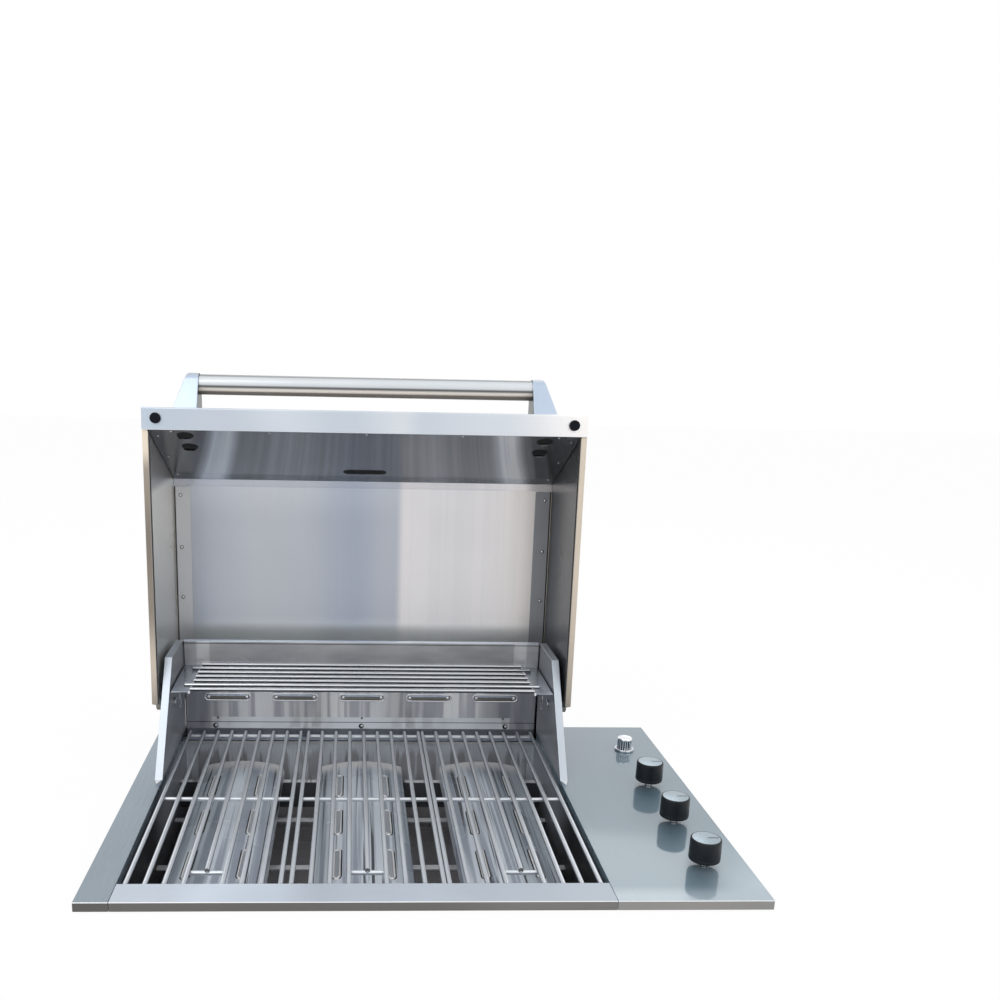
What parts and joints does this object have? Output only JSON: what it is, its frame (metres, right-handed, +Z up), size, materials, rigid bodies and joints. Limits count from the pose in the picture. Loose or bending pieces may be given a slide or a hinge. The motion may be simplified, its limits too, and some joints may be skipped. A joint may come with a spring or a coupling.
{
  "type": "built-in gas grill",
  "caption": "Built-in stainless gas grill with a hinged hood, bar handle, dial thermometer, warming rack, rod grates, flame tamers and a side panel of knobs.",
  "frame": {"origin": "middle of the underside of the firebox", "axes": "+Z up, +X along the width towards the control panel, -Y towards the user"},
  "size_m": [0.8502, 0.666, 0.8171],
  "materials": {
    "satin_steel": "brushed satin",
    "bright_steel": "bright, softly reflective",
    "dark_steel": "dull, heat-darkened",
    "rod_steel": "satin rod",
    "chrome": "polished",
    "brass": "cast, satin",
    "black_plastic": "satin black",
    "silver_cap": "satin",
    "black_rubber": "matte",
    "dial_black": "matte black with white numerals",
    "needle_red": "satin red",
    "lens_glass": "clear"
  },
  "bodies": {
    "grill_body": {"firebox_shell": "satin_steel", "left_trim": "satin_steel", "front_strip": "satin_steel", "rear_trim": "satin_steel", "control_panel": "satin_steel", "control_box": "satin_steel", "rear_wall": "satin_steel", "left_wing": "satin_steel", "right_wing": "satin_steel", "burner_left": "rod_steel", "burner_middle": "rod_steel", "burner_right": "rod_steel", "burner_rail_front": "dark_steel", "burner_rail_rear": "dark_steel", "burner_brace_front": "rod_steel", "burner_brace_rear": "rod_steel", "flame_tamer_left": "bright_steel", "flame_tamer_middle": "bright_steel", "flame_tamer_right": "bright_steel", "gas_manifold": "brass", "valve_body_1": "brass", "valve_body_2": "brass", "valve_body_3": "brass", "feed_pipe_1": "rod_steel", "feed_pipe_2": "rod_steel", "feed_pipe_3": "rod_steel", "igniter_collar": "chrome", "hinge_pin_left": "chrome", "hinge_pin_right": "chrome", "rack_ledge_left": "satin_steel", "rack_ledge_right": "satin_steel"},
    "hood": {"lid_skin": "satin_steel", "lid_liner": "satin_steel", "lid_side_left": "satin_steel", "lid_side_right": "satin_steel", "handle_bracket_left": "satin_steel", "handle_bracket_right": "satin_steel", "handle_tube": "rod_steel", "bumper_left": "black_rubber", "bumper_right": "black_rubber", "thermometer_case": "chrome", "thermometer_dial": "dial_black", "thermometer_lens": "lens_glass"},
    "thermometer_needle": {"thermometer_needle": "needle_red"},
    "drip_tray": {"drip_tray": "bright_steel"},
    "warming_rack": {"warming_rack": "rod_steel"},
    "grate_left": {"grate_left": "rod_steel"},
    "grate_middle": {"grate_middle": "rod_steel"},
    "grate_right": {"grate_right": "rod_steel"},
    "valve_stem_1": {"valve_stem_1": "chrome"},
    "valve_stem_2": {"valve_stem_2": "chrome"},
    "valve_stem_3": {"valve_stem_3": "chrome"},
    "knob_1": {"knob_1": "black_plastic", "knob_cap_1": "silver_cap"},
    "knob_2": {"knob_2": "black_plastic", "knob_cap_2": "silver_cap"},
    "knob_3": {"knob_3": "black_plastic", "knob_cap_3": "silver_cap"},
    "igniter_button": {"igniter_button": "chrome"}
  },
  "joints": [
    {"name": "hood_hinge", "type": "hinge", "parent": "grill_body", "child": "hood", "pos_m": [0, 0.1698, 0.298], "axis": [-1, 0, 0], "range_deg": [-96, 0]},
    {"name": "needle_turn", "type": "hinge", "parent": "hood", "child": "thermometer_needle", "pos_m": [0, 0.28623, 0.70181], "axis": [0, 0.4236, 0.9058], "range_deg": [-235, 0], "stiffness_Nm_per_rad": 0.0004},
    {"name": "tray_slide", "type": "slide", "parent": "grill_body", "child": "drip_tray", "axis": [0, -1, 0], "range_m": [0, 0.4]},
    {"name": "rack_lift", "type": "slide", "parent": "grill_body", "child": "warming_rack", "axis": [0, 0, 1], "range_m": [0, 0.12]},
    {"name": "grate_left_lift", "type": "slide", "parent": "grill_body", "child": "grate_left", "axis": [0, 0, 1], "range_m": [0, 0.075]},
    {"name": "grate_middle_lift", "type": "slide", "parent": "grill_body", "child": "grate_middle", "axis": [0, 0, 1], "range_m": [0, 0.075]},
    {"name": "grate_right_lift", "type": "slide", "parent": "grill_body", "child": "grate_right", "axis": [0, 0, 1], "range_m": [0, 0.075]},
    {"name": "knob_push_1", "type": "slide", "parent": "grill_body", "child": "valve_stem_1", "axis": [0, 0, -1], "range_m": [0, 0.003], "stiffness_N_per_m": 800, "springref_m": -0.002},
    {"name": "knob_turn_1", "type": "hinge", "parent": "valve_stem_1", "child": "knob_1", "pos_m": [0.4417, -0.2264, 0.235], "axis": [0, 0, 1], "range_deg": [0, 180]},
    {"name": "knob_push_2", "type": "slide", "parent": "grill_body", "child": "valve_stem_2", "axis": [0, 0, -1], "range_m": [0, 0.003], "stiffness_N_per_m": 800, "springref_m": -0.002},
    {"name": "knob_turn_2", "type": "hinge", "parent": "valve_stem_2", "child": "knob_2", "pos_m": [0.4417, -0.098, 0.235], "axis": [0, 0, 1], "range_deg": [0, 180]},
    {"name": "knob_push_3", "type": "slide", "parent": "grill_body", "child": "valve_stem_3", "axis": [0, 0, -1], "range_m": [0, 0.003], "stiffness_N_per_m": 800, "springref_m": -0.002},
    {"name": "knob_turn_3", "type": "hinge", "parent": "valve_stem_3", "child": "knob_3", "pos_m": [0.4417, 0.029, 0.235], "axis": [0, 0, 1], "range_deg": [0, 180]},
    {"name": "igniter_push", "type": "slide", "parent": "grill_body", "child": "igniter_button", "axis": [0, 0, -1], "range_m": [0, 0.004], "stiffness_N_per_m": 1200, "springref_m": -0.002}
  ]
}
